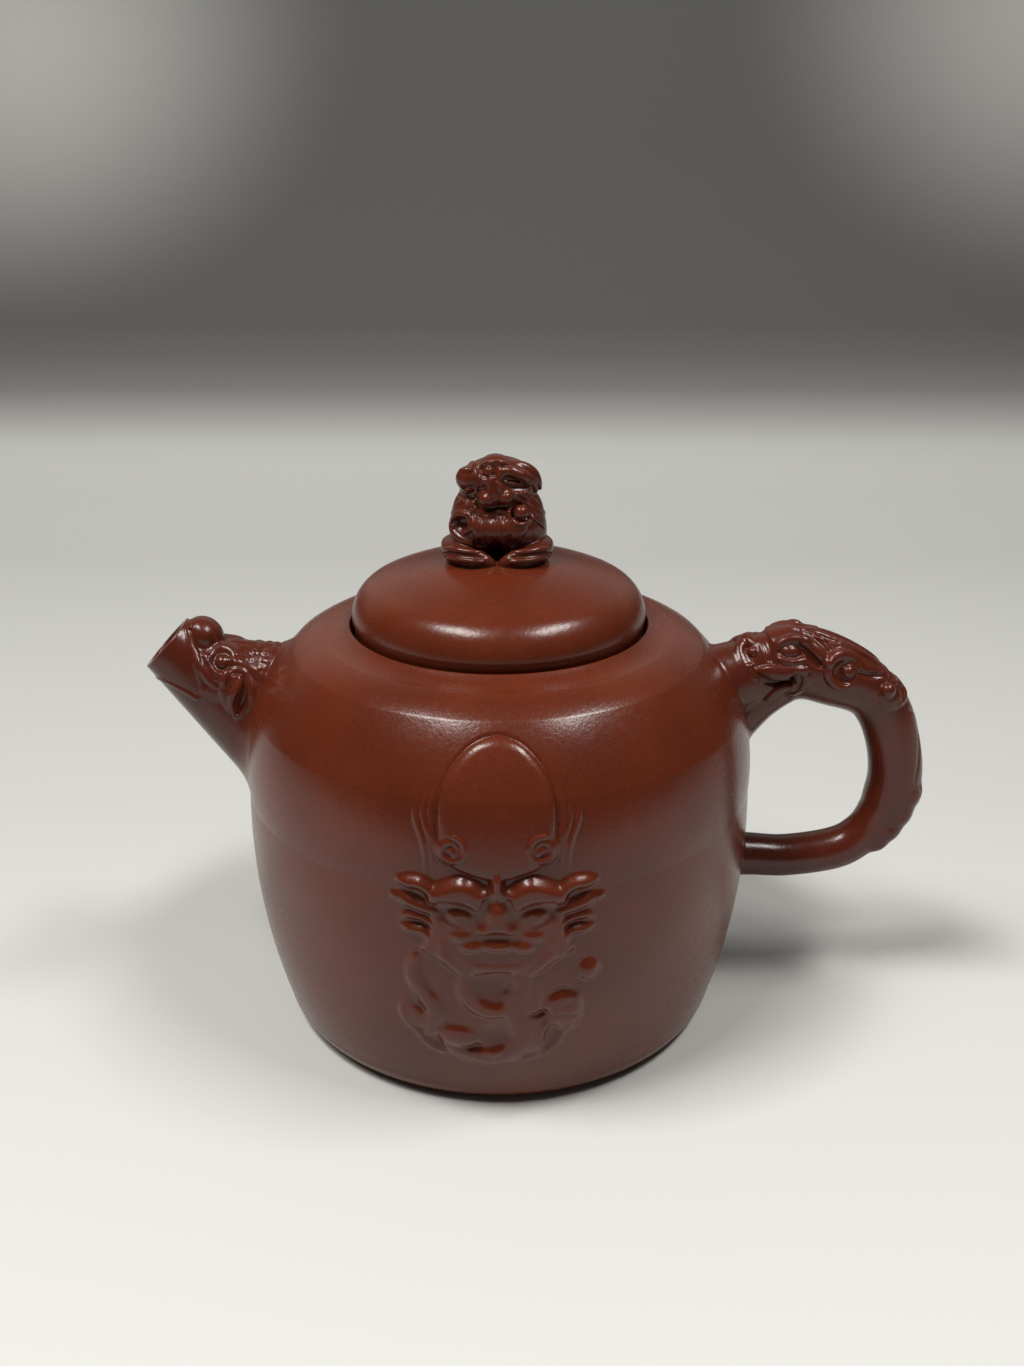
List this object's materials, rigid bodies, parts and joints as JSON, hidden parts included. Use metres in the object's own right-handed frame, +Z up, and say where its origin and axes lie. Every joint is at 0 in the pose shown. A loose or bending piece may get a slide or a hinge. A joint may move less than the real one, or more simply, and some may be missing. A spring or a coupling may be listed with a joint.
{
  "type": "yixing teapot",
  "caption": "Unglazed purple clay teapot with a dragon-head spout, a dragon ear handle, a low dragon relief and a domed lift-off lid with a beast knob.",
  "frame": {"origin": "centre of the foot on the table", "axes": "+Z up, the spout towards -X, the handle towards +X, the relief on the front at -Y"},
  "size_m": [0.1568, 0.1025, 0.1145],
  "materials": {
    "polished_clay": "burnished satin",
    "carved_clay": "burnished satin",
    "raw_clay": "matte"
  },
  "bodies": {
    "pot": {"body_wall": "polished_clay", "base_disc": "polished_clay", "shoulder_disc": "polished_clay", "mouth_ring": "polished_clay", "spout": "polished_clay", "handle": "polished_clay", "spout_dragon_head": "carved_clay", "spout_head_beads": "carved_clay", "handle_dragon_head": "carved_clay", "handle_head_beads": "carved_clay", "handle_tail_fin": "carved_clay", "relief_mask": "carved_clay", "relief_spirals": "carved_clay", "relief_arch": "carved_clay", "relief_horns": "carved_clay", "relief_eyes": "carved_clay", "relief_coil": "carved_clay", "relief_clouds": "carved_clay", "relief_pearl": "carved_clay", "strainer_dome": "raw_clay"},
    "lid": {"lid_dome": "polished_clay", "lid_flange": "polished_clay", "knob_beast_body": "carved_clay", "knob_beast_head": "carved_clay", "knob_paws": "carved_clay", "knob_curls": "carved_clay"}
  },
  "joints": [
    {"name": "lid_lift", "type": "slide", "parent": "pot", "child": "lid", "axis": [0, 0, 1], "range_m": [0, 0.04]}
  ]
}
